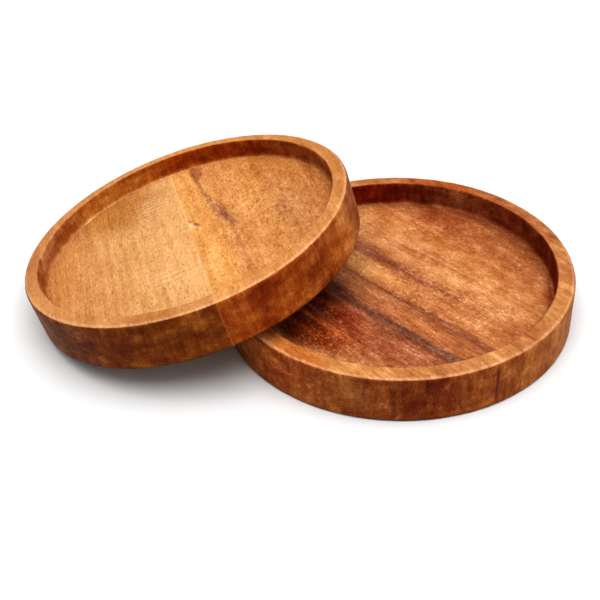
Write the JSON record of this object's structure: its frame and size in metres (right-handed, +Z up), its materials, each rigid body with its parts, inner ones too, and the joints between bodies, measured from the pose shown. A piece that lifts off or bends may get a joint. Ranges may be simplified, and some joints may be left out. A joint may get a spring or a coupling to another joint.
{
  "type": "drink coaster",
  "caption": "Round turned wooden drink coasters with a raised rim round a shallow recess, the second leaning on the rim of the first.",
  "frame": {"origin": "middle of the flat coaster's underside, on the table", "axes": "+Z up, +X to the right of someone who looks along +Y at the front of the pair"},
  "size_m": [0.158, 0.1099, 0.038],
  "materials": {
    "flat_front_wood": "oiled red-brown wood with a dark vein",
    "flat_back_wood": "oiled golden-brown wood",
    "dark_glue": "set glue stained by oil",
    "leaning_left_wood": "oiled pale tan wood",
    "leaning_right_wood": "oiled orange wood with a swirled figure",
    "pale_glue": "set glue, pale"
  },
  "bodies": {
    "flat_coaster": {"flat_front_board": "flat_front_wood", "flat_back_board": "flat_back_wood", "flat_glue_line": "dark_glue"},
    "leaning_coaster": {"leaning_left_board": "leaning_left_wood", "leaning_right_board": "leaning_right_wood", "leaning_glue_line": "pale_glue"}
  },
  "joints": [
    {"name": "leaning_coaster_lift", "type": "slide", "parent": "flat_coaster", "child": "leaning_coaster", "axis": [0, 0, 1], "range_m": [0, 0.06]}
  ]
}
